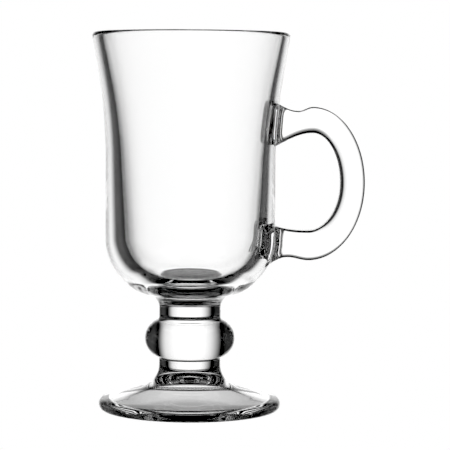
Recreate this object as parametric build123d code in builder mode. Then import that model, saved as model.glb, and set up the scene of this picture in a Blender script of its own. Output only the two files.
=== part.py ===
from build123d import *
import os
from math import cos, radians, sin, sqrt, tan

# A footed glass mug for hot drinks: four gathers of clear glass, hot-joined face to face.
# The foot stands on z = 0, the axis of the round pieces is Z, and the handle reaches out along +X.

# Foot: a coned disc that flares up to the stem, hollowed underneath like a bell, with a dome in its middle.
foot_radius = 35.75
foot_edge_height = 4.25
foot_top_edge_radius = 2.2
foot_rest_edge_radius = 2.2
foot_slope = 14.6
foot_flare_radius = 9.6
foot_hollow_radius = 30.6
foot_hollow_slope = 15.5
dome_radius = 20.2
dome_slope = 36.4
dome_turn_radius = 29.0
dome_crown_radius = 14.0

# Stem: two short necks and a round knop between them, flaring into the bowl.
neck_radius = 12.05
lower_neck_length = 2.9
knop_radius = 17.65
knop_bulge_radius = 7.75
knop_crease_radius = 1.4
upper_neck_length = 4.5
bowl_flare_radius = 5.3

# Bowl, outside: a coned base that turns up into a straight waist and flares to the rim.
bowl_height = 102.8
bowl_base_slope = 15.6
bowl_base_radius = 22.0
bowl_shoulder_slope = 45.4
bowl_base_turn_radius = 13.0
bowl_shoulder_turn_radius = 21.9
waist_radius = 33.3
waist_top = 52.3
rim_flare_radius = 200.0
rim_flare_slope = 9.5
lip_radius = 1.5

# Bowl, inside: the hollow that the plunger leaves, with its draft.
floor_thickness = 6.5
floor_turn_radius = 17.0
waist_wall = 5.45
bore_draft = 3.0
bore_flare_radius = 230.0
bore_flare_slope = 11.5

# Handle: a flat-sided strap bent into an ear, its arms spreading where they meet the bowl.
# Runs are measured out from the waist, the drop down from the rim and the rise up from the bowl's seat.
strap_depth = 12.0
strap_inner_edge_radius = 3.7
strap_outer_edge_radius = 3.0
upper_arm_drop = 28.7
upper_arm_width = 10.2
upper_bend_run = 14.25
upper_dip = 1.6
upper_dip_run = 8.75
upper_spread_above = 2.2
upper_spread_below = 6.6
lower_arm_rise = 14.1
lower_arm_width = 11.6
lower_bend_run = 12.75
lower_swell = 1.2
lower_swell_run = 5.05
lower_spread_above = 3.0
lower_spread_below = 4.5
grip_rise = 30.2
grip_reach = 34.85
grip_width = 9.6
weld_depth = 1.0


def rise(length, slope):
    """The height gained over a level length at a slope in degrees."""
    return length * tan(radians(slope))


# Where the gathers meet, worked up from the floor.
flare_start_radius = neck_radius + foot_flare_radius * (1 - sin(radians(foot_slope)))
flare_start_z = foot_edge_height + rise(foot_radius - flare_start_radius, foot_slope)
foot_seat_z = flare_start_z + foot_flare_radius * cos(radians(foot_slope))
dome_z = rise(foot_hollow_radius - dome_radius, foot_hollow_slope)
dome_tip_z = dome_z + rise(dome_radius, dome_slope)
knop_half_height = sqrt(knop_bulge_radius**2 - (neck_radius - knop_radius + knop_bulge_radius) ** 2)
knop_bottom_z = foot_seat_z + lower_neck_length
knop_z = knop_bottom_z + knop_half_height
knop_top_z = knop_z + knop_half_height
upper_neck_z = knop_top_z + upper_neck_length
bowl_seat_radius = neck_radius + bowl_flare_radius * (1 - sin(radians(bowl_base_slope)))
bowl_seat_z = upper_neck_z + bowl_flare_radius * cos(radians(bowl_base_slope))
rim_z = bowl_seat_z + bowl_height

# The outside of the bowl, from its seat on the stem to the rim.
base_edge_z = bowl_seat_z + rise(bowl_base_radius - bowl_seat_radius, bowl_base_slope)
shoulder_z = base_edge_z + rise(waist_radius - bowl_base_radius, bowl_shoulder_slope)

# The turns at both ends of the shoulder's cone, each no rounder than its share of the cone has room for.
shoulder_length = (waist_radius - bowl_base_radius) / cos(radians(bowl_shoulder_slope))
base_turn_reach = tan(radians(bowl_shoulder_slope - bowl_base_slope) / 2)
shoulder_turn_reach = tan(radians(90 - bowl_shoulder_slope) / 2)
base_turn_radius = min(bowl_base_turn_radius, 0.3 * shoulder_length / base_turn_reach)
shoulder_turn_radius = min(bowl_shoulder_turn_radius, 0.65 * shoulder_length / shoulder_turn_reach)
shoulder_turn_z = shoulder_z + shoulder_turn_radius * shoulder_turn_reach

# The waist and the flare over it.
waist_top_z = bowl_seat_z + waist_top
rim_arc_z = waist_top_z + rim_flare_radius * sin(radians(rim_flare_slope))
rim_arc_radius = waist_radius + rim_flare_radius * (1 - cos(radians(rim_flare_slope)))
rim_radius = rim_arc_radius + (rim_z - rim_arc_z) * tan(radians(rim_flare_slope))

# The inside of the bowl: the wall is measured at the height where the waist ends.
bore_radius = waist_radius - waist_wall
floor_z = bowl_seat_z + floor_thickness
floor_corner_radius = bore_radius - (waist_top_z - floor_z) * tan(radians(bore_draft))
bore_arc_z = waist_top_z + bore_flare_radius * (sin(radians(bore_flare_slope)) - sin(radians(bore_draft)))
bore_arc_radius = bore_radius + bore_flare_radius * (cos(radians(bore_draft)) - cos(radians(bore_flare_slope)))
mouth_radius = bore_arc_radius + (rim_z - bore_arc_z) * tan(radians(bore_flare_slope))

# The lip is melted round over no more than nine tenths of the rim's thickness.
lip_limit = 0.9 * (rim_radius - mouth_radius) / 2


def wall_radius(z):
    """The outer radius of the bowl at a height, from its cone over the shoulder's turn to the waist."""
    drop = max(shoulder_turn_z - z, 0)
    turn_drop = min(drop, shoulder_turn_radius * cos(radians(bowl_shoulder_slope)))
    turned_in = shoulder_turn_radius - sqrt(shoulder_turn_radius**2 - turn_drop**2)
    return waist_radius - turned_in - (drop - turn_drop) / tan(radians(bowl_shoulder_slope))


# Foot: the flat seat on top carries the stem, and the ring left around the hollow rests on the table.
with BuildPart() as foot:
    with BuildSketch(Plane.YZ):
        with BuildLine():
            FilletPolyline(
                (0, 0),
                (foot_radius, 0),
                (foot_radius, foot_edge_height),
                (flare_start_radius, flare_start_z),
                radius=(foot_rest_edge_radius, foot_top_edge_radius),
            )
            RadiusArc(
                (flare_start_radius, flare_start_z),
                (neck_radius, foot_seat_z),
                foot_flare_radius,
            )
            Polyline((neck_radius, foot_seat_z), (0, foot_seat_z), (0, 0))
        make_face()
    revolve(axis=Axis.Z)
    with BuildSketch(Plane.YZ):
        with BuildLine():
            FilletPolyline(
                (-foot_hollow_radius, 0),
                (-dome_radius, dome_z),
                (0, dome_tip_z),
                (dome_radius, dome_z),
                (foot_hollow_radius, 0),
                radius=(dome_turn_radius, dome_crown_radius, dome_turn_radius),
            )
            Line((foot_hollow_radius, 0), (-foot_hollow_radius, 0))
        make_face()
        split(bisect_by=Plane.YZ)
    revolve(axis=Axis.Z, mode=Mode.SUBTRACT)
foot.part.label = "foot"

# Stem: solid glass, seated on the foot and flared to the underside of the bowl.
with BuildPart() as stem:
    with BuildSketch(Plane.YZ):
        with BuildLine():
            Line((neck_radius, foot_seat_z), (neck_radius, knop_bottom_z))
            ThreePointArc(
                (neck_radius, knop_bottom_z),
                (knop_radius, knop_z),
                (neck_radius, knop_top_z),
            )
            Line((neck_radius, knop_top_z), (neck_radius, upper_neck_z))
            RadiusArc(
                (neck_radius, upper_neck_z),
                (bowl_seat_radius, bowl_seat_z),
                bowl_flare_radius,
            )
            Polyline(
                (bowl_seat_radius, bowl_seat_z),
                (0, bowl_seat_z),
                (0, foot_seat_z),
                (neck_radius, foot_seat_z),
            )
        make_face()
    revolve(axis=Axis.Z)
    for crease_z in (knop_bottom_z, knop_top_z):
        circles = stem.edges().filter_by(GeomType.CIRCLE)
        crease = min(circles, key=lambda circle: abs(circle.center().Z - crease_z))
        fillet(crease, radius=knop_crease_radius)
stem.part.label = "stem"

# The bowl's outer form, solid to the axis. The bowl is hollowed from it and the handle is cut to it.
with BuildPart() as bowl_form:
    with BuildSketch(Plane.YZ):
        with BuildLine():
            FilletPolyline(
                (bowl_seat_radius, bowl_seat_z),
                (bowl_base_radius, base_edge_z),
                (waist_radius, shoulder_z),
                (waist_radius, waist_top_z),
                radius=(base_turn_radius, shoulder_turn_radius),
            )
            JernArc(
                start=(waist_radius, waist_top_z),
                tangent=(0, 1),
                radius=rim_flare_radius,
                arc_size=-rim_flare_slope,
            )
            Polyline(
                (rim_arc_radius, rim_arc_z),
                (rim_radius, rim_z),
                (0, rim_z),
                (0, bowl_seat_z),
                (bowl_seat_radius, bowl_seat_z),
            )
        make_face()
    revolve(axis=Axis.Z)

# Bowl: the plunger's hollow is taken out of the form and the lip is melted round.
with BuildPart() as bowl:
    add(bowl_form.part)
    with BuildSketch(Plane.YZ):
        with BuildLine():
            FilletPolyline(
                (0, floor_z),
                (floor_corner_radius, floor_z),
                (bore_radius, waist_top_z),
                radius=floor_turn_radius,
            )
            JernArc(
                start=(bore_radius, waist_top_z),
                tangent=(sin(radians(bore_draft)), cos(radians(bore_draft))),
                radius=bore_flare_radius,
                arc_size=bore_draft - bore_flare_slope,
            )
            Polyline(
                (bore_arc_radius, bore_arc_z),
                (mouth_radius, rim_z),
                (0, rim_z),
                (0, floor_z),
            )
        make_face()
    revolve(axis=Axis.Z, mode=Mode.SUBTRACT)
    fillet(bowl.edges().group_by(Axis.Z)[-1], radius=min(lip_radius, lip_limit))
bowl.part.label = "bowl"

# The ear's outline: quarter ellipses over and under the grip, outside and inside the strap.
upper_arm_top_z = rim_z - upper_arm_drop
upper_arm_under_z = upper_arm_top_z - upper_arm_width
lower_arm_under_z = bowl_seat_z + lower_arm_rise
lower_arm_top_z = lower_arm_under_z + lower_arm_width
grip_z = lower_arm_under_z + grip_rise
grip_outer_x = waist_radius + grip_reach
grip_inner_x = grip_outer_x - grip_width
upper_bend_x = waist_radius + upper_bend_run
lower_bend_x = waist_radius + lower_bend_run
lower_root_z = lower_arm_under_z - lower_spread_below
narrowest_wall = wall_radius(lower_root_z)
root_x = sqrt(narrowest_wall**2 - (strap_depth / 2) ** 2) - weld_depth
towards_bowl = (-1, 0)
spreading_up = (-2, 1)
spreading_down = (-2, -1)


def bend(bend_x, grip_edge_x, arm_edge_z, start_angle):
    """A quarter ellipse between an edge of the grip and the same edge of an arm."""
    return EllipticalCenterArc(
        center=(bend_x, grip_z),
        x_radius=grip_edge_x - bend_x,
        y_radius=abs(arm_edge_z - grip_z),
        start_angle=start_angle,
        arc_size=90,
    )


def strap_edges(inside):
    """The long edges of the strap's two flat sides, either those inside the loop or those around it."""
    long_edges = handle.faces().filter_by(Axis.Y).edges().filter_by(Axis.Z, reverse=True)
    inner_edges = long_edges.filter_by_position(Axis.Z, lower_arm_top_z, upper_arm_under_z)
    return inner_edges if inside else long_edges - inner_edges


# Handle: the outline given its depth and its edges rounded, then cut to the outside of the bowl.
with BuildPart() as handle:
    with BuildSketch(Plane.XZ):
        with BuildLine():
            bend(upper_bend_x, grip_outer_x, upper_arm_top_z, 0)
            bend(lower_bend_x, grip_outer_x, lower_arm_under_z, 270)
            bend(upper_bend_x, grip_inner_x, upper_arm_under_z, 0)
            bend(lower_bend_x, grip_inner_x, lower_arm_top_z, 270)
            upper_edge = Spline(
                (upper_bend_x, upper_arm_top_z),
                (waist_radius + upper_dip_run, upper_arm_top_z - upper_dip),
                (root_x, upper_arm_top_z + upper_spread_above),
                tangents=[towards_bowl, spreading_up],
            )
            upper_underside = Spline(
                (upper_bend_x, upper_arm_under_z),
                (root_x, upper_arm_under_z - upper_spread_below),
                tangents=[towards_bowl, spreading_down],
            )
            lower_underside = Spline(
                (lower_bend_x, lower_arm_under_z),
                (waist_radius + lower_swell_run, lower_arm_under_z + lower_swell),
                (root_x, lower_root_z),
                tangents=[towards_bowl, spreading_down],
            )
            lower_top = Spline(
                (lower_bend_x, lower_arm_top_z),
                (root_x, lower_arm_top_z + lower_spread_above),
                tangents=[towards_bowl, spreading_up],
            )
            Line(upper_edge @ 1, upper_underside @ 1)
            Line(lower_underside @ 1, lower_top @ 1)
        make_face()
    extrude(amount=strap_depth / 2, both=True)
    fillet(strap_edges(inside=False), radius=strap_outer_edge_radius)
    fillet(strap_edges(inside=True), radius=strap_inner_edge_radius)
    add(bowl_form.part, mode=Mode.SUBTRACT)
handle.part.label = "handle"

os.makedirs("parts", exist_ok=True)
export_step(foot.part, "parts/foot.step")
export_step(stem.part, "parts/stem.step")
export_step(bowl.part, "parts/bowl.step")
export_step(handle.part, "parts/handle.step")

print("height", round(rim_z, 2), "rim radius", round(rim_radius, 2), "mouth radius", round(mouth_radius, 2))
print("foot seat z", round(foot_seat_z, 2), "knop z", round(knop_z, 2), "bowl seat z", round(bowl_seat_z, 2))
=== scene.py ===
# %% [markdown]
# # A footed glass mug for hot drinks
# The real mug is four gathers of colourless glass that are stuck together while they are hot: a pressed
# bowl, a stem with a round knop, a foot and a strap handle. Clear glass has no colour of its own, so all
# that we see of it is how its surfaces bend the light from behind. The shapes, the hidden inner wall most
# of all, and the light therefore do the work that paint does on other objects. The script loads the
# measured solids first, as a fixed frame, and dresses each of them in that frame.

# %% Load the measured frame
from math import atan2, ceil, cos, hypot, pi, radians, sin, sqrt, tan

import bmesh
import bpy
import numpy as np
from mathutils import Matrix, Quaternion, Vector


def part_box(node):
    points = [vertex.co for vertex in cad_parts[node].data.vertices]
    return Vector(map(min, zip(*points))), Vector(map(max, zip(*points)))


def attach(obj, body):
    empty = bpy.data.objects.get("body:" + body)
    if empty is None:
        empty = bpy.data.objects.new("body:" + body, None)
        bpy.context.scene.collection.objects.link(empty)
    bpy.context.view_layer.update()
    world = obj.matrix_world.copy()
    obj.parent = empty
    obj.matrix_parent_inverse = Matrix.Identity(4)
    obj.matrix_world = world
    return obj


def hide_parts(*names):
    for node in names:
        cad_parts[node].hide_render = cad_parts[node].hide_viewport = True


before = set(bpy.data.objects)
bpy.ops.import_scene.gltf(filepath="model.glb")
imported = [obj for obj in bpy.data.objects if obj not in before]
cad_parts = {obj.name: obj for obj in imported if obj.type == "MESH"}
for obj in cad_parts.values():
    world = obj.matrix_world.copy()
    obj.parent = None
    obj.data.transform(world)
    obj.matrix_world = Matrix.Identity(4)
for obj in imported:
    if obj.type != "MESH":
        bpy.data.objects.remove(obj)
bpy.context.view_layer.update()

MM = 0.001
foot_low, foot_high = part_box("foot")
bowl_low, bowl_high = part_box("bowl")
foot_radius = foot_high.y / MM
foot_seat_z = foot_high.z / MM
bowl_seat_z = bowl_low.z / MM
rim_z = bowl_high.z / MM
print("foot radius", round(foot_radius, 2), "rim height", round(rim_z, 2), "mm")

# %% [markdown]
# ## Drawing a profile
# Bowl, stem and foot are round, so each is one outline turned about the upright axis. An outline could be
# traced point by point, but a glassmaker's drawing has only straight runs and arcs, so this pen takes the
# corners of the outline and the radius of each and works the points out. Short steps matter: glass shows
# every facet.

# %% A pen for straight runs and arcs
LONGEST_STEP = 0.9
LARGEST_TURN = radians(3.0)


def arc(centre, radius, start, end):
    """Points on a circle from one angle to another, both in radians."""
    steps = max(ceil(abs(end - start) / LARGEST_TURN), ceil(abs(end - start) * radius / LONGEST_STEP))
    angles = np.linspace(start, end, steps + 1)
    return [(centre[0] + radius * cos(a), centre[1] + radius * sin(a)) for a in angles]


def rounded(corners, radii):
    """The outline through the corners, with an arc of its own radius at each inner one."""
    line = [corners[0]]
    for before, corner, after, radius in zip(corners, corners[1:], corners[2:], radii):
        arriving = atan2(corner[1] - before[1], corner[0] - before[0])
        leaving = atan2(after[1] - corner[1], after[0] - corner[0])
        turn = (leaving - arriving + pi) % (2 * pi) - pi
        reach = radius * tan(abs(turn) / 2)
        side = pi / 2 if turn > 0 else -pi / 2
        start = (corner[0] - reach * cos(arriving), corner[1] - reach * sin(arriving))
        centre = (start[0] + radius * cos(arriving + side), start[1] + radius * sin(arriving + side))
        line += arc(centre, radius, arriving - side, arriving - side + turn)
    return line + [corners[-1]]


def stepped(line):
    """The same outline with its long runs cut into short ones, and no point given twice."""
    steps = [line[0]]
    for (r0, z0), (r1, z1) in zip(line, line[1:]):
        length = hypot(r1 - r0, z1 - z0)
        if length < 1e-6:
            continue
        for share in np.linspace(0, 1, ceil(length / LONGEST_STEP) + 1)[1:]:
            steps.append((r0 + (r1 - r0) * share, z0 + (z1 - z0) * share))
    return steps


print("a quarter turn of 10 mm takes", len(arc((0, 0), 10, 0, pi / 2)), "points")

# %% [markdown]
# ## Turning the round pieces
# A lathe turns one profile about one axis, and that is a rule, so Geometry Nodes can hold it: a grid with a
# row for every point of the profile and a column for every step of the turn, each point swung to its place.
# A spin in mesh code would do as well, but here the number of segments stays an input that can be changed
# later.

# %% The lathe: a grid swung about the axis
def add_node(tree, kind, **settings):
    """A new node with these settings."""
    made = tree.nodes.new(kind)
    for key, value in settings.items():
        setattr(made, key, value)
    return made


def counted(tree, operation, first, second):
    """Whole-number arithmetic on two sockets, or on a socket and a number."""
    made = add_node(tree, "FunctionNodeIntegerMath", operation=operation)
    tree.links.new(first, made.inputs[0])
    if isinstance(second, int):
        made.inputs[1].default_value = second
    else:
        tree.links.new(second, made.inputs[1])
    return made.outputs[0]


def swung_grid(tree, given, rows, index):
    """The grid whose every column is the profile, swung on by one step."""
    link = tree.links.new
    grid = add_node(tree, "GeometryNodeMeshGrid")
    link(counted(tree, "ADD", given["Segments"], 1), grid.inputs["Vertices X"])
    link(rows, grid.inputs["Vertices Y"])
    step = add_node(tree, "ShaderNodeMath", operation="DIVIDE")
    step.inputs[0].default_value = 2 * pi
    link(given["Segments"], step.inputs[1])
    angle = add_node(tree, "ShaderNodeMath", operation="MULTIPLY")
    link(counted(tree, "DIVIDE_FLOOR", index, rows), angle.inputs[0])
    link(step.outputs[0], angle.inputs[1])
    place = add_node(tree, "GeometryNodeSampleIndex", data_type="FLOAT_VECTOR", domain="POINT")
    link(given["Profile"], place.inputs["Geometry"])
    link(add_node(tree, "GeometryNodeInputPosition").outputs[0], place.inputs["Value"])
    link(counted(tree, "MODULO", index, rows), place.inputs["Index"])
    swing = add_node(tree, "ShaderNodeVectorRotate", rotation_type="Z_AXIS")
    link(place.outputs[0], swing.inputs["Vector"])
    link(angle.outputs[0], swing.inputs["Angle"])
    turned = add_node(tree, "GeometryNodeSetPosition")
    link(grid.outputs["Mesh"], turned.inputs["Geometry"])
    link(swing.outputs[0], turned.inputs["Position"])
    return turned.outputs[0]


# %% [markdown]
# The faces where two gathers are melted together get a second material, because no light bends there. The
# profile says which of its spans are such seams, the grid's faces take that over, and the selection does
# the rest.

# %% The lathe: its seams and its node tree
def marked_seams(tree, given, rows, index, turned):
    """The turned grid with a mark on each face that comes from a melted span of the profile."""
    link = tree.links.new
    spans = counted(tree, "SUBTRACT", rows, 1)
    marked = add_node(tree, "GeometryNodeInputNamedAttribute", data_type="BOOLEAN")
    marked.inputs["Name"].default_value = "seam"
    melted = add_node(tree, "GeometryNodeSampleIndex", data_type="BOOLEAN", domain="POINT")
    link(given["Profile"], melted.inputs["Geometry"])
    link(marked.outputs[0], melted.inputs["Value"])
    link(counted(tree, "MODULO", index, spans), melted.inputs["Index"])
    store = add_node(tree, "GeometryNodeStoreNamedAttribute", data_type="BOOLEAN", domain="FACE")
    store.inputs["Name"].default_value = "melted"
    link(turned, store.inputs["Geometry"])
    link(melted.outputs[0], store.inputs["Value"])
    return store.outputs[0]


def closed_and_finished(tree, given, marked):
    """Welds the grid shut, smooths it and gives it its two materials."""
    link = tree.links.new
    weld = add_node(tree, "GeometryNodeMergeByDistance")
    link(marked, weld.inputs["Geometry"])
    link(given["Weld Distance"], weld.inputs["Distance"])
    smooth = add_node(tree, "GeometryNodeSetShadeSmooth")
    link(weld.outputs[0], smooth.inputs["Geometry"])
    real = add_node(tree, "GeometryNodeRealizeInstances")
    link(smooth.outputs[0], real.inputs[0])
    glass = add_node(tree, "GeometryNodeSetMaterial")
    link(real.outputs[0], glass.inputs["Geometry"])
    link(given["Glass"], glass.inputs["Material"])
    on_seam = add_node(tree, "GeometryNodeInputNamedAttribute", data_type="BOOLEAN")
    on_seam.inputs["Name"].default_value = "melted"
    seam = add_node(tree, "GeometryNodeSetMaterial")
    link(glass.outputs[0], seam.inputs["Geometry"])
    link(on_seam.outputs[0], seam.inputs["Selection"])
    link(given["Seam"], seam.inputs["Material"])
    return seam.outputs[0]


def lathe_tree():
    """A node tree that turns a column of profile points about the Z axis, and the names of its inputs."""
    tree = bpy.data.node_groups.new("glass_lathe", "GeometryNodeTree")
    sockets = {}
    for name, kind in (
        ("Profile", "NodeSocketGeometry"),
        ("Segments", "NodeSocketInt"),
        ("Weld Distance", "NodeSocketFloat"),
        ("Glass", "NodeSocketMaterial"),
        ("Seam", "NodeSocketMaterial"),
    ):
        sockets[name] = tree.interface.new_socket(name, in_out="INPUT", socket_type=kind).identifier
    tree.interface.new_socket("Piece", in_out="OUTPUT", socket_type="NodeSocketGeometry")
    given = add_node(tree, "NodeGroupInput").outputs
    count = add_node(tree, "GeometryNodeAttributeDomainSize")
    tree.links.new(given["Profile"], count.inputs["Geometry"])
    rows = count.outputs["Point Count"]
    index = add_node(tree, "GeometryNodeInputIndex").outputs[0]
    turned = swung_grid(tree, given, rows, index)
    marked = marked_seams(tree, given, rows, index, turned)
    piece = closed_and_finished(tree, given, marked)
    tree.links.new(piece, add_node(tree, "NodeGroupOutput").inputs["Piece"])
    return tree, sockets


LATHE, LATHE_INPUT = lathe_tree()
print("lathe of", len(LATHE.nodes), "nodes")

# %% [markdown]
# The lathe runs as a modifier on the profile's points, and what it makes is kept as a plain mesh. Where
# glass meets a seam the shading is split, or the rounded normals there would bend light that the real mug
# lets through.

# %% Running the lathe
TURN_SEGMENTS = 208
WELD_DISTANCE = 2e-6
ML = 1e6


def plain_object(name, mesh):
    """An object at the origin that holds this mesh."""
    made = bpy.data.objects.new(name, mesh)
    bpy.context.scene.collection.objects.link(made)
    return made


def sharpen_seams(mesh):
    """Splits the shading where glass meets a melted seam, and returns the volume inside the mesh."""
    work = bmesh.new()
    work.from_mesh(mesh)
    for edge in work.edges:
        edge.smooth = len({face.material_index for face in edge.link_faces}) < 2
    volume = work.calc_volume(signed=True)
    work.to_mesh(mesh)
    work.free()
    return volume


def turn_on_lathe(name, profile, seam_spans, glass, seam):
    """A closed round piece. seam_spans are the numbers of the profile's points that start a melted face."""
    points = bpy.data.meshes.new(name + "_profile")
    points.from_pydata([(r * MM, 0, z * MM) for r, z in profile], [], [])
    flags = points.attributes.new("seam", "BOOLEAN", "POINT")
    for number in seam_spans:
        flags.data[number].value = True
    lathe = plain_object(name + "_lathe", points)
    modifier = lathe.modifiers.new("lathe", "NODES")
    modifier.node_group = LATHE
    modifier[LATHE_INPUT["Segments"]] = TURN_SEGMENTS
    modifier[LATHE_INPUT["Weld Distance"]] = WELD_DISTANCE
    modifier[LATHE_INPUT["Glass"]] = glass
    modifier[LATHE_INPUT["Seam"]] = seam
    graph = bpy.context.evaluated_depsgraph_get()
    mesh = bpy.data.meshes.new_from_object(lathe.evaluated_get(graph))
    mesh.name = name
    bpy.data.objects.remove(lathe)
    if mesh.materials[0] is None:
        mesh.materials.pop(index=0)
    volume = sharpen_seams(mesh)
    print(name, len(mesh.polygons), "faces,", round(volume * ML, 2), "ml of glass")
    return mesh


# %% [markdown]
# ## The glass
# Colourless glass is one shader with full transmission. Left perfect it looks like a computer picture,
# because pressed and hand-drawn glass is never quite true: the mould leaves a slow ripple. A photograph of
# ripples could be wrapped round the mug, but a noise in the object's own space has no seams. It is a node
# group, since every piece has it, each with its own scale and depth.

# %% The ripple
def ripple_group():
    """Slow waves of a pressed surface, as a height between 0 and 1."""
    group = bpy.data.node_groups.new("press_ripple", "ShaderNodeTree")
    for name, kind in (("Waves per Metre", "NodeSocketFloat"), ("Stretch", "NodeSocketVector")):
        group.interface.new_socket(name, in_out="INPUT", socket_type=kind)
    group.interface.new_socket("Height", in_out="OUTPUT", socket_type="NodeSocketFloat")
    given = group.nodes.new("NodeGroupInput")
    where = group.nodes.new("ShaderNodeTexCoord")
    stretched = group.nodes.new("ShaderNodeVectorMath")
    stretched.operation = "MULTIPLY"
    group.links.new(where.outputs["Object"], stretched.inputs[0])
    group.links.new(given.outputs["Stretch"], stretched.inputs[1])
    waves = group.nodes.new("ShaderNodeTexNoise")
    waves.inputs["Detail"].default_value = 1.0
    waves.inputs["Roughness"].default_value = 0.4
    group.links.new(stretched.outputs[0], waves.inputs["Vector"])
    group.links.new(given.outputs["Waves per Metre"], waves.inputs["Scale"])
    group.links.new(waves.outputs[0], group.nodes.new("NodeGroupOutput").inputs["Height"])
    return group


RIPPLE = ripple_group()
print("ripple of", len(RIPPLE.nodes), "nodes")

# %% [markdown]
# Each piece has a glass of its own, so that the bowl can be wavier than the stem. The melted seams have no
# surface at all: a shader that lets every ray pass straight on keeps the pieces closed and still lets them
# look like one.

# %% The finishes
GLASS_INDEX = 1.52


def clear_glass(name, waves, stretch, depth):
    """Colourless glass with its own ripple: waves per metre, their stretch and their depth in metres."""
    material = bpy.data.materials.new(name)
    material.use_nodes = True
    nodes, links = material.node_tree.nodes, material.node_tree.links
    shader = nodes["Principled BSDF"]
    shader.inputs["Base Color"].default_value = (1.0, 1.0, 1.0, 1.0)
    shader.inputs["Roughness"].default_value = 0.0
    shader.inputs["IOR"].default_value = GLASS_INDEX
    shader.inputs["Transmission Weight"].default_value = 1.0
    ripple = nodes.new("ShaderNodeGroup")
    ripple.node_tree = RIPPLE
    ripple.inputs["Waves per Metre"].default_value = waves
    ripple.inputs["Stretch"].default_value = stretch
    bump = nodes.new("ShaderNodeBump")
    bump.inputs["Distance"].default_value = depth
    links.new(ripple.outputs["Height"], bump.inputs["Height"])
    links.new(bump.outputs["Normal"], shader.inputs["Normal"])
    return material


def melted_seam():
    """Where two gathers are one glass, nothing shows and no light bends."""
    material = bpy.data.materials.new("melted_seam")
    material.use_nodes = True
    nodes, links = material.node_tree.nodes, material.node_tree.links
    nodes.remove(nodes["Principled BSDF"])
    clear = nodes.new("ShaderNodeBsdfTransparent")
    links.new(clear.outputs[0], nodes["Material Output"].inputs["Surface"])
    return material


bowl_glass = clear_glass("pressed_glass", 40.0, (1.0, 1.0, 0.6), 0.00004)
stem_glass = clear_glass("stem_glass", 60.0, (1.0, 1.0, 1.0), 0.00002)
foot_glass = clear_glass("foot_glass", 60.0, (1.0, 1.0, 1.0), 0.00003)
handle_glass = clear_glass("drawn_glass", 60.0, (1.0, 1.0, 1.0), 0.00002)
seam_glass = melted_seam()
print("finishes", [m.name for m in (bowl_glass, stem_glass, foot_glass, handle_glass, seam_glass)])

# %% [markdown]
# ## Foot
# A round disc, coned on top and flaring up to the stem. Underneath it is hollowed like a bell, with a dome
# in its middle, so that it stands on a ring. A flat underside would be simpler, but the grey field and the
# dark collar that we see through the top come from this hollow, so it is drawn with the same care as the
# outside.

# %% Turn the foot
neck_radius = 12.05
foot_slope = radians(14.6)
foot_flare_radius = 9.6
foot_edge_height = 4.25
foot_edge_radius = 2.2
foot_hollow_radius = 30.6
foot_hollow_slope = radians(15.5)
dome_radius = 20.2
dome_slope = radians(36.4)
dome_turn_radius = 29.0
dome_crown_radius = 14.0

flare_centre = (neck_radius + foot_flare_radius, foot_seat_z)
flare_line = arc(flare_centre, foot_flare_radius, 1.5 * pi - foot_slope, pi)
dome_z = (foot_hollow_radius - dome_radius) * tan(foot_hollow_slope)
crown_z = dome_z + dome_radius * tan(dome_slope) - dome_crown_radius / cos(dome_slope)
crown_line = arc((0, crown_z), dome_crown_radius, pi / 2, pi / 2 - dome_slope)
bell_line = rounded([crown_line[-1], (dome_radius, dome_z), (foot_hollow_radius, 0)], [dome_turn_radius])
foot_line = rounded(
    [(foot_hollow_radius, 0), (foot_radius, 0), (foot_radius, foot_edge_height), flare_line[0]],
    [foot_edge_radius, foot_edge_radius],
)
foot_profile = stepped(crown_line + bell_line + foot_line + flare_line)
foot_seam = len(foot_profile) - 1
foot_mesh = turn_on_lathe("foot", foot_profile + [(0, foot_seat_z)], [foot_seam], foot_glass, seam_glass)
print("dome", round(crown_z + dome_crown_radius, 2), "mm high")

# %% [markdown]
# ## Stem
# Solid glass: a short neck off the foot, the round knop that the fingers find, another neck and a flare
# under the bowl. It could be a ball set between two rods, but hot glass leaves no sharp corner, so a small
# crease rounds each place where knop and neck meet. Each of these is a lens, and the knop is the strongest.

# %% Turn the stem
knop_radius = 17.65
knop_bulge_radius = 7.75
knop_crease_radius = 1.4
lower_neck_length = 2.9
bowl_flare_radius = 5.3
bowl_base_slope = radians(15.6)

bowl_seat_radius = neck_radius + bowl_flare_radius * (1 - sin(bowl_base_slope))
upper_neck_z = bowl_seat_z - bowl_flare_radius * cos(bowl_base_slope)
knop_centre = knop_radius - knop_bulge_radius
knop_half_height = sqrt(knop_bulge_radius**2 - (neck_radius - knop_centre) ** 2)
knop_z = foot_seat_z + lower_neck_length + knop_half_height
crease_r = neck_radius + knop_crease_radius
crease_rise = sqrt((knop_bulge_radius + knop_crease_radius) ** 2 - (crease_r - knop_centre) ** 2)
crease_angle = atan2(crease_rise, crease_r - knop_centre)
lower_crease = arc((crease_r, knop_z - crease_rise), knop_crease_radius, pi, pi - crease_angle)
knop = arc((knop_centre, knop_z), knop_bulge_radius, -crease_angle, crease_angle)
upper_crease = arc((crease_r, knop_z + crease_rise), knop_crease_radius, crease_angle - pi, -pi)
bowl_flare_centre = (neck_radius + bowl_flare_radius, upper_neck_z)
bowl_flare = arc(bowl_flare_centre, bowl_flare_radius, pi, pi / 2 + bowl_base_slope)
stem_side = stepped([(neck_radius, foot_seat_z)] + lower_crease + knop + upper_crease + bowl_flare)
stem_profile = [(0, foot_seat_z)] + stem_side + [(0, bowl_seat_z)]
stem_mesh = turn_on_lathe("stem", stem_profile, [0, len(stem_side)], stem_glass, seam_glass)
print("knop centre", round(knop_z, 2), "mm above the table")

# %% [markdown]
# ## Bowl
# Pressed between a mould and a plunger: the outside has a coned base, a straight waist and a flared rim,
# and the inside has the plunger's draft, so the wall grows from about three millimetres at the rim to eight
# near the floor. A shell of even thickness would be easier to make, but the hidden inner wall draws the
# wide dark bands, so its profile is as carefully measured as the outside.

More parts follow.
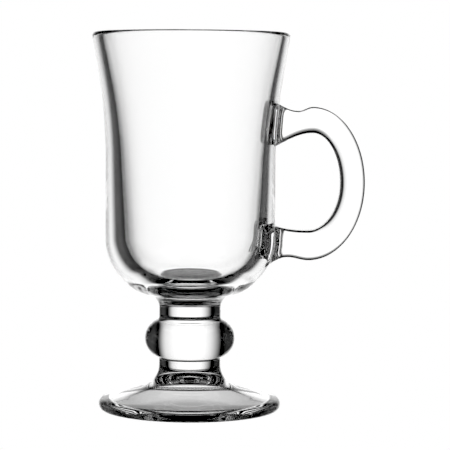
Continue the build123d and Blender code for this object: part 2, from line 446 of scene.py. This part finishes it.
# %% The bowl's sizes
bowl_base_radius = 22.0
bowl_shoulder_slope = radians(45.4)
bowl_base_turn_radius = 13.0
bowl_shoulder_turn_radius = 21.9
waist_radius = 33.3
waist_top = 52.3
rim_flare_radius = 200.0
rim_flare_slope = radians(9.5)
lip_radius = 1.5
floor_thickness = 6.5
floor_turn_radius = 17.0
waist_wall = 5.45
bore_draft = radians(3.0)
bore_flare_radius = 230.0
bore_flare_slope = radians(11.5)
bore_offset = 0.4

bore_radius = waist_radius - waist_wall
waist_top_z = bowl_seat_z + waist_top
floor_z = bowl_seat_z + floor_thickness
base_edge_z = bowl_seat_z + (bowl_base_radius - bowl_seat_radius) * tan(bowl_base_slope)
shoulder_z = base_edge_z + (waist_radius - bowl_base_radius) * tan(bowl_shoulder_slope)
rim_corner_z = waist_top_z + rim_flare_radius * tan(rim_flare_slope / 2)
rim_radius = waist_radius + (rim_z - rim_corner_z) * tan(rim_flare_slope)
bore_reach = bore_flare_radius * tan((bore_flare_slope - bore_draft) / 2)
bore_corner = (bore_radius + bore_reach * sin(bore_draft), waist_top_z + bore_reach * cos(bore_draft))
mouth_radius = bore_corner[0] + (rim_z - bore_corner[1]) * tan(bore_flare_slope)
floor_corner_radius = bore_radius - (waist_top_z - floor_z) * tan(bore_draft)
print("rim", round(rim_radius, 2), "mouth", round(mouth_radius, 2), "mm")

# %% Turn the bowl
bowl_corners = [
    (bowl_seat_radius, bowl_seat_z),
    (bowl_base_radius, base_edge_z),
    (waist_radius, shoulder_z),
    (waist_radius, rim_corner_z),
    (rim_radius, rim_z),
    (mouth_radius, rim_z),
    bore_corner,
    (floor_corner_radius, floor_z),
    (0, floor_z),
]
bowl_radii = [
    bowl_base_turn_radius,
    bowl_shoulder_turn_radius,
    rim_flare_radius,
    lip_radius,
    lip_radius,
    bore_flare_radius,
    floor_turn_radius,
]
bowl_outline = rounded(bowl_corners, bowl_radii)
bowl_profile = [(0, bowl_seat_z)] + stepped(bowl_outline)
bowl_mesh = turn_on_lathe("bowl", bowl_profile, [0], bowl_glass, seam_glass)
lip = int(np.argmax([z for r, z in bowl_profile]))
outer_wall = np.array(bowl_profile[:lip])
inner_wall = np.array(bowl_profile[:lip:-1])
print("profile of", len(bowl_profile), "points, the lip at", lip)

# %% [markdown]
# On the mug in the photograph the right wall's dark band lies nearer to the edge than the left one's. A
# plunger that went in a little off centre would explain it. A second profile could be turned about its own
# axis and cut out, but it is enough to slide the inside over: all of it on the bore, none on the outer wall
# and a share of it in between.

# %% Slide the bore
def slide_bore(mesh, offset):
    """Moves the inside of the bowl along X and leaves its outside where it is."""
    places = np.empty(len(mesh.vertices) * 3)
    mesh.vertices.foreach_get("co", places)
    places = places.reshape(-1, 3)
    heights = places[:, 2] / MM
    outside = np.interp(heights, outer_wall[:, 1], outer_wall[:, 0])
    inside = np.interp(heights, inner_wall[:, 1], inner_wall[:, 0])
    inwards = (outside - np.hypot(places[:, 0], places[:, 1]) / MM) / (outside - inside)
    share = np.clip(inwards, 0, 1) * (heights > floor_z - WELD_DISTANCE / MM)
    places[:, 0] += offset * MM * share
    mesh.vertices.foreach_set("co", places.ravel())
    mesh.update()
    return share


moved = slide_bore(bowl_mesh, bore_offset)
print(int((moved > 0.5).sum()), "of", len(moved), "points moved by", bore_offset, "mm")

# %% [markdown]
# ## Handle
# A flat-sided strap of hot glass, pressed against the bowl at its upper end, bent into an ear and stuck
# again lower down. Its outline is a quarter ellipse over and under the grip, outside and inside the strap,
# with arms that spread where they meet the bowl. It could be swept along one path, but the strap changes
# width on its way, so it is lofted: a rounded oblong at each station, from the outer edge of the strap to
# the inner one.

# %% The strap's sizes
strap_depth = 12.0
strap_inner_edge_radius = 3.7
strap_outer_edge_radius = 3.0
upper_arm_drop = 28.7
upper_arm_width = 10.2
upper_bend_run = 14.25
upper_dip = 1.6
upper_dip_run = 8.75
upper_spread_above = 2.2
upper_spread_below = 6.6
lower_arm_rise = 14.1
lower_arm_width = 11.6
lower_bend_run = 12.75
lower_swell = 1.2
lower_swell_run = 5.05
lower_spread_above = 3.0
lower_spread_below = 4.5
grip_rise = 30.2
grip_reach = 34.85
grip_width = 9.6
root_depth = 2.8
root_slope = 0.5
lower_root_slope = 1.2

upper_arm_top_z = rim_z - upper_arm_drop
upper_arm_under_z = upper_arm_top_z - upper_arm_width
lower_arm_under_z = bowl_seat_z + lower_arm_rise
lower_arm_top_z = lower_arm_under_z + lower_arm_width
upper_bend_x = waist_radius + upper_bend_run
lower_bend_x = waist_radius + lower_bend_run
grip_z = lower_arm_under_z + grip_rise
grip_outer_x = waist_radius + grip_reach
grip_inner_x = grip_outer_x - grip_width
root_x = waist_radius - root_depth
loop_height = upper_arm_under_z - lower_arm_top_z
print("loop", round(grip_inner_x - waist_radius, 2), "by", round(loop_height, 2), "mm")

# %% The strap's stations
ARM_STEPS = 56
BEND_STEPS = 64
ROOT_CROWDING = 1.6
upper_edge = [
    (root_x, upper_arm_top_z + upper_spread_above, -root_slope),
    (waist_radius + upper_dip_run, upper_arm_top_z - upper_dip, 0),
    (upper_bend_x, upper_arm_top_z, 0),
]
upper_underside = [
    (root_x, upper_arm_under_z - upper_spread_below, root_slope),
    (upper_bend_x, upper_arm_under_z, 0),
]
lower_underside = [
    (root_x, lower_arm_under_z - lower_spread_below, lower_root_slope),
    (waist_radius + lower_swell_run, lower_arm_under_z + lower_swell, 0),
    (lower_bend_x, lower_arm_under_z, 0),
]
lower_top = [
    (root_x, lower_arm_top_z + lower_spread_above, -root_slope),
    (lower_bend_x, lower_arm_top_z, 0),
]


def flowing(knots, x):
    """The height at x of a smooth curve through knots of (x, height, slope)."""
    for (x0, z0, slope0), (x1, z1, slope1) in zip(knots, knots[1:]):
        if x <= x1:
            break
    run = x1 - x0
    t = (x - x0) / run
    start = (1 + 2 * t) * (1 - t) ** 2 * z0 + t * (1 - t) ** 2 * run * slope0
    return start + t * t * (3 - 2 * t) * z1 + t * t * (t - 1) * run * slope1


def arm_stations(outer, inner, bend_x):
    """(outer edge, inner edge) of the strap along an arm, closer together towards the root."""
    shares = np.linspace(0, 1, ARM_STEPS) ** ROOT_CROWDING
    return [((x, flowing(outer, x)), (x, flowing(inner, x))) for x in root_x + (bend_x - root_x) * shares]


def bend_stations(bend_x, outer_z, inner_z, start, end):
    """The same around a bend, on two quarter ellipses about one centre."""
    return [
        (
            (bend_x + (grip_outer_x - bend_x) * cos(a), grip_z + (outer_z - grip_z) * sin(a)),
            (bend_x + (grip_inner_x - bend_x) * cos(a), grip_z + (inner_z - grip_z) * sin(a)),
        )
        for a in np.linspace(start, end, BEND_STEPS)
    ]


stations = arm_stations(upper_edge, upper_underside, upper_bend_x)
stations += bend_stations(upper_bend_x, upper_arm_top_z, upper_arm_under_z, pi / 2, 0)[1:]
stations += bend_stations(lower_bend_x, lower_arm_under_z, lower_arm_top_z, 0, pi / 2)[1:]
stations += arm_stations(lower_underside, lower_top, lower_bend_x)[::-1][1:]
print("handle stations", len(stations))

# %% [markdown]
# The strap's section is not a plain rectangle. Its edges are rounded, more inside the loop than outside,
# which makes the inner line of the handle the darker one. Where an arm comes to the wall it swells as
# pressed glass does, and it leans with the wall, which is not upright at either root.

# %% The strap's section
upper_weld_radius = 3.2
lower_weld_radius = 4.5
weld_x = sqrt(waist_radius**2 - (strap_depth / 2) ** 2)
lean_run = 8.0
lean_end_x = waist_radius + lean_run
CORNER_STEPS = 8
FLAT_STEPS = (0.03, 0.12, 0.3, 0.5, 0.7, 0.88, 0.97)
waist_wall_line = outer_wall[outer_wall[:, 0] >= bore_radius]


def half_depth(x, z):
    """Half the strap's depth: it swells where it is welded to the wall."""
    weld_radius = upper_weld_radius if z > grip_z else lower_weld_radius
    t = min(max((weld_x + weld_radius - x) / weld_radius, 0), 1)
    return strap_depth / 2 + weld_radius * (1 - sqrt(1 - t * t))


def oblong(half_width, half_height):
    """The strap's section: a rectangle with rounded corners, the outer side first."""
    inner, outer = strap_inner_edge_radius, strap_outer_edge_radius
    turns = []
    for corner, (u, v, r) in enumerate(((1, 1, outer), (-1, 1, inner), (-1, -1, inner), (1, -1, outer))):
        angles = [pi / 2 * (corner + step / CORNER_STEPS) for step in range(CORNER_STEPS + 1)]
        middle_u, middle_v = u * (half_width - r), v * (half_height - r)
        turns.append([(middle_u + r * cos(a), middle_v + r * sin(a)) for a in angles])
    ring = []
    for turn, following in zip(turns, turns[1:] + turns[:1]):
        (u0, v0), (u1, v1) = turn[-1], following[0]
        ring += turn + [(u0 + (u1 - u0) * share, v0 + (v1 - v0) * share) for share in FLAT_STEPS]
    return ring


def leaning(x, z):
    """Moves a point by as much as the wall at its height stands off the waist."""
    t = min(max((lean_end_x - x) / lean_run, 0), 1)
    wall = np.interp(z, waist_wall_line[:, 1], waist_wall_line[:, 0])
    return x + (wall - waist_radius) * t * t * (3 - 2 * t)


print("section of", len(oblong(grip_width / 2, strap_depth / 2)), "points")

# %% Loft the strap
def strap_points():
    """The points of every station's section, one ring after the other."""
    corners = []
    for outer, inner in stations:
        middle = ((outer[0] + inner[0]) / 2, (outer[1] + inner[1]) / 2)
        width = hypot(outer[0] - inner[0], outer[1] - inner[1])
        across = ((outer[0] - inner[0]) / width, (outer[1] - inner[1]) / width)
        for u, v in oblong(width / 2, half_depth(*middle)):
            x = middle[0] + across[0] * u
            z = middle[1] + across[1] * u
            corners.append((leaning(x, z) * MM, v * MM, z * MM))
    return corners


def strap_mesh():
    """The strap as a closed mesh whose ends lie inside the wall of the bowl."""
    corners = strap_points()
    ring = len(corners) // len(stations)
    faces = []
    for station in range(len(stations) - 1):
        for i in range(ring):
            a, b = station * ring + i, station * ring + (i + 1) % ring
            faces.append((a, b, b + ring, a + ring))
    faces.append(tuple(range(ring))[::-1])
    faces.append(tuple(range(len(corners) - ring, len(corners))))
    mesh = bpy.data.meshes.new("handle")
    mesh.from_pydata(corners, [], faces)
    work = bmesh.new()
    work.from_mesh(mesh)
    bmesh.ops.recalc_face_normals(work, faces=work.faces)
    for face in work.faces:
        face.smooth = True
    print("handle", round(work.calc_volume(signed=True) * ML, 2), "ml of glass before it is stuck on")
    work.to_mesh(mesh)
    work.free()
    mesh.materials.append(handle_glass)
    return mesh


handle_mesh = strap_mesh()

# %% [markdown]
# ## Sticking the handle to the bowl
# Hot glass flows together, so the wall under the handle's ends is no longer a surface. A Boolean union
# takes those hidden faces away. The union is then parted again by its materials, so that bowl and handle
# stay two pieces, and the openings that are left between them are closed with the seam's material.

# %% Unite, part and close
def melted_together(first, second):
    """The union of two closed meshes as one mesh with the materials of both."""
    base, tool = plain_object("base", first), plain_object("tool", second)
    union = base.modifiers.new("union", "BOOLEAN")
    union.operation = "UNION"
    union.solver = "EXACT"
    union.material_mode = "TRANSFER"
    union.object = tool
    graph = bpy.context.evaluated_depsgraph_get()
    mesh = bpy.data.meshes.new_from_object(base.evaluated_get(graph))
    bpy.data.objects.remove(base)
    bpy.data.objects.remove(tool)
    return mesh


def own_share(united, name, kept, seam):
    """The part of the union that has the kept materials, closed with the seam's where the rest was."""
    names = [material.name for material in united.materials]
    wanted = {names.index(material.name) for material in kept}
    work = bmesh.new()
    work.from_mesh(united)
    lost = [face for face in work.faces if face.material_index not in wanted]
    bmesh.ops.delete(work, geom=lost, context="FACES")
    open_edges = [edge for edge in work.edges if edge.is_boundary]
    closed = bmesh.ops.holes_fill(work, edges=open_edges, sides=0)["faces"]
    for face in closed:
        face.material_index = names.index(seam.name)
    bmesh.ops.triangulate(work, faces=closed)
    mesh = bpy.data.meshes.new(name)
    work.to_mesh(mesh)
    work.free()
    for material in united.materials:
        mesh.materials.append(material)
    volume = sharpen_seams(mesh)
    print(name, len(mesh.polygons), "faces,", round(volume * ML, 2), "ml,", len(closed), "seams closed")
    return mesh


united_mesh = melted_together(bowl_mesh, handle_mesh)
bowl_mesh = own_share(united_mesh, "bowl", [bowl_glass, seam_glass], seam_glass)
handle_mesh = own_share(united_mesh, "handle", [handle_glass], seam_glass)

# %% [markdown]
# ## Seating the pieces in the frame
# Each finished mesh takes the place of its measured solid and rides on the same body. Nothing on a glass
# mug moves, so that body is the only one.

# %% Seat the pieces
for name, mesh in (("foot", foot_mesh), ("stem", stem_mesh), ("bowl", bowl_mesh), ("handle", handle_mesh)):
    piece = plain_object("glass_" + name, mesh)
    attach(piece, "root")
    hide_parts(name)
    print("seated", piece.name)

# %% [markdown]
# ## Camera
# A long lens about three quarters of a metre away, a little below the rim and looking slightly down. From
# further off the ellipses of rim and foot would be flatter, and from nearer they would be rounder, than
# they are in the photograph. The small roll is the photograph's own.

# %% Place the camera
MM_PER_PIXEL = 0.3927
FRAME_PIXELS = 450
aim = Vector((13.6, 0, 72.8)) * MM
camera_place = Vector((13.6, -780.0, 124.0)) * MM
camera_roll = radians(0.37)
sight = aim - camera_place
camera_data = bpy.data.cameras.new("camera")
camera_data.sensor_width = 36.0
camera_data.lens = camera_data.sensor_width * sight.length / (MM_PER_PIXEL * FRAME_PIXELS * MM)
camera_data.clip_start = 0.05
camera_data.clip_end = 20.0
camera = bpy.data.objects.new("camera", camera_data)
bpy.context.scene.collection.objects.link(camera)
camera.location = camera_place
camera.rotation_mode = "QUATERNION"
camera.rotation_quaternion = sight.to_track_quat("-Z", "Y") @ Quaternion((0, 0, 1), camera_roll)
bpy.context.scene.camera = camera
print("lens", round(camera_data.lens, 1), "mm")

# %% [markdown]
# ## Light
# Clear glass is photographed in a bright field: a white screen behind it and dark cards at its sides, so
# that every edge that bends light far sideways turns black. Real screens and cards could stand around the
# mug, but their edges are soft and their brightness falls off, so one large ball carries the whole tent:
# how bright it is depends on the bearing and the height that a ray leaves in. Two high side lamps brighten
# the turn of the bowl.

# %% Curves of brightness
DEGREE = radians(1.0)
SCREEN_SIDES = (
    (-115, 0.02), (-95, 0.05), (-75, 0.03), (-60, 0.05), (-46, 0.05), (-40, 0.015), (-36, 0.002),
    (-34, 0.06), (-32.9, 0.11), (-29.6, 0.3), (-26.9, 0.48), (-24.3, 0.65), (-21.9, 0.81), (-19.6, 0.94),
    (-16, 1.07), (-12, 1.15), (0, 1.2), (12, 1.14), (16, 1.05), (19, 0.97), (23, 0.85), (26, 0.62),
    (28.5, 0.38), (30.5, 0.2), (32.5, 0.06), (34, 0.01), (40, 0.05), (46, 0.08), (58, 0.08), (75, 0.03),
    (95, 0.05), (115, 0.02),
)
SCREEN_HEIGHTS = (
    (-48, 0.0), (-42, 0.03), (-38, 0.1), (-35, 0.35), (-31, 1.0), (15, 1.0), (18.5, 0.65), (24, 0.3),
    (29.6, 0.12), (36, 0.0),
)
LAMP_SIDES = ((-140, 0.0), (-130, 0.9), (-80, 0.9), (-70, 0.0), (70, 0.0), (80, 0.9), (130, 0.9), (140, 0.0))
LAMP_HEIGHTS = ((40, 0.0), (46, 1.0), (72, 1.0), (78, 0.0))


def brightness_ramp(nodes, links, measure, unit, stops):
    """A curve of brightness over a measure, with stops of (place in that unit, brightness)."""
    first, last = stops[0][0], stops[-1][0]
    share = nodes.new("ShaderNodeMapRange")
    share.inputs["From Min"].default_value = first * unit
    share.inputs["From Max"].default_value = last * unit
    links.new(measure, share.inputs["Value"])
    ramp = nodes.new("ShaderNodeValToRGB")
    while len(ramp.color_ramp.elements) < len(stops):
        ramp.color_ramp.elements.new(0.5)
    for element, (place, value) in zip(ramp.color_ramp.elements, stops):
        element.position = (place - first) / (last - first)
        element.color = (value, value, value, 1)
    links.new(share.outputs[0], ramp.inputs[0])
    return ramp.outputs["Color"]


def maths(nodes, links, operation, *values):
    """One step of arithmetic on sockets and numbers."""
    node = nodes.new("ShaderNodeMath")
    node.operation = operation
    for socket, value in zip(node.inputs, values):
        if isinstance(value, float):
            socket.default_value = value
        else:
            links.new(value, socket)
    return node.outputs[0]


def glowing(name):
    """A material that only glows, with its nodes, its links and its light."""
    material = bpy.data.materials.new(name)
    material.use_nodes = True
    nodes, links = material.node_tree.nodes, material.node_tree.links
    nodes.remove(nodes["Principled BSDF"])
    light = nodes.new("ShaderNodeEmission")
    links.new(light.outputs[0], nodes["Material Output"].inputs["Surface"])
    return material, nodes, links, light


print("curves of", len(SCREEN_SIDES), "and", len(SCREEN_HEIGHTS), "stops for the screen")

# %% The tent around the mug
TENT_RADIUS = 4.0
TENT_SEGMENTS = 48
TENT_RINGS = 24


def tent_light():
    """Brightness by bearing and height, as seen from the mug with the camera's back to us."""
    material, nodes, links, light = glowing("tent_light")
    where = nodes.new("ShaderNodeTexCoord")
    level = nodes.new("ShaderNodeVectorMath")
    level.operation = "NORMALIZE"
    links.new(where.outputs["Object"], level.inputs[0])
    parts = nodes.new("ShaderNodeSeparateXYZ")
    links.new(level.outputs[0], parts.inputs[0])
    away = maths(nodes, links, "MULTIPLY", parts.outputs["Z"], -1.0)
    bearing = maths(nodes, links, "ARCTAN2", parts.outputs["X"], away)
    height = maths(nodes, links, "ARCSINE", parts.outputs["Y"])
    sources = []
    for sides, heights in ((SCREEN_SIDES, SCREEN_HEIGHTS), (LAMP_SIDES, LAMP_HEIGHTS)):
        across = brightness_ramp(nodes, links, bearing, DEGREE, sides)
        upright = brightness_ramp(nodes, links, height, DEGREE, heights)
        sources.append(maths(nodes, links, "MULTIPLY", across, upright))
    links.new(maths(nodes, links, "ADD", *sources), light.inputs["Strength"])
    return material


tent_mesh = bpy.data.meshes.new("light_tent")
work = bmesh.new()
bmesh.ops.create_uvsphere(work, u_segments=TENT_SEGMENTS, v_segments=TENT_RINGS, radius=TENT_RADIUS)
bmesh.ops.reverse_faces(work, faces=work.faces)
work.to_mesh(tent_mesh)
work.free()
tent_mesh.materials.append(tent_light())
tent = plain_object("light_tent", tent_mesh)
tent.parent = camera
tent.location = (0, 0, -sight.length)
tent.visible_camera = False
print("tent of", len(tent_mesh.polygons), "faces, turned with the camera")

# %% [markdown]
# ## Table
# The table is a plain white sheet, as bright as the paper around the photographed mug. Seen through the
# foot's hollow it isn't even: the mug shades it in front and behind, and only the middle is lit. One sheet
# can't be both, so a small disc under the foot, which only the glass sees, carries that shade. It counts
# for short paths alone, because light that has wandered through the whole mug would otherwise find it
# again.

# %% Lay the table
FLOOR_RADIUS = 3.0
FLOOR_DROP = 0.0001
DISC_SEGMENTS = 96
LONGEST_PATH = 2.5
TABLE_SHADE = (
    (-30, 0.38), (-21, 0.4), (-17.8, 0.42), (-15.4, 0.47), (-12.2, 0.64), (-10, 0.78), (12, 0.78), (15, 0.5),
    (18, 0.12), (21, 0.06), (30, 0.06),
)


def level_disc(name, radius, z, material):
    """A flat round sheet of the stage at this height."""
    mesh = bpy.data.meshes.new(name)
    work = bmesh.new()
    bmesh.ops.create_circle(work, cap_ends=True, radius=radius, segments=DISC_SEGMENTS)
    work.to_mesh(mesh)
    work.free()
    mesh.materials.append(material)
    disc = plain_object(name, mesh)
    disc.location.z = z
    return disc


def table_shade():
    """The lit middle and the shaded ends of the table under the foot."""
    material, nodes, links, light = glowing("table_shade")
    where = nodes.new("ShaderNodeTexCoord")
    parts = nodes.new("ShaderNodeSeparateXYZ")
    links.new(where.outputs["Object"], parts.inputs[0])
    links.new(brightness_ramp(nodes, links, parts.outputs["Y"], MM, TABLE_SHADE), light.inputs["Color"])
    path = nodes.new("ShaderNodeLightPath")
    short = maths(nodes, links, "LESS_THAN", path.outputs["Ray Depth"], LONGEST_PATH)
    links.new(short, light.inputs["Strength"])
    return material


white_floor = glowing("floor_white")[0]
floor = level_disc("floor", FLOOR_RADIUS, -FLOOR_DROP, white_floor)
floor.visible_transmission = False
floor.visible_glossy = False
table = level_disc("shaded_table", foot_hollow_radius * MM, -FLOOR_DROP / 2, table_shade())
table.visible_camera = False
print("table", FLOOR_RADIUS, "m and its shaded disc", foot_hollow_radius, "mm in radius")

# %% [markdown]
# ## The picture
# The surroundings are as white as the table. Glass needs many bounces before its light comes out again, and
# a small black level stands for the photograph's own contrast, which closes the darkest edges.

# %% Surroundings and tone
BLACK_LEVEL = 0.03
BOUNCES = 40
scene = bpy.context.scene
scene.world = bpy.data.worlds.new("studio")
scene.world.use_nodes = True
background = scene.world.node_tree.nodes["Background"]
background.inputs["Color"].default_value = (1, 1, 1, 1)
background.inputs["Strength"].default_value = 1.0
scene.view_settings.view_transform = "Standard"
scene.view_settings.use_curve_mapping = True
scene.view_settings.curve_mapping.black_level = (BLACK_LEVEL, BLACK_LEVEL, BLACK_LEVEL)
scene.view_settings.curve_mapping.update()
scene.cycles.max_bounces = BOUNCES
scene.cycles.transmission_bounces = BOUNCES
scene.cycles.glossy_bounces = BOUNCES
scene.cycles.transparent_max_bounces = BOUNCES
print("bounces", BOUNCES, "black level", BLACK_LEVEL)
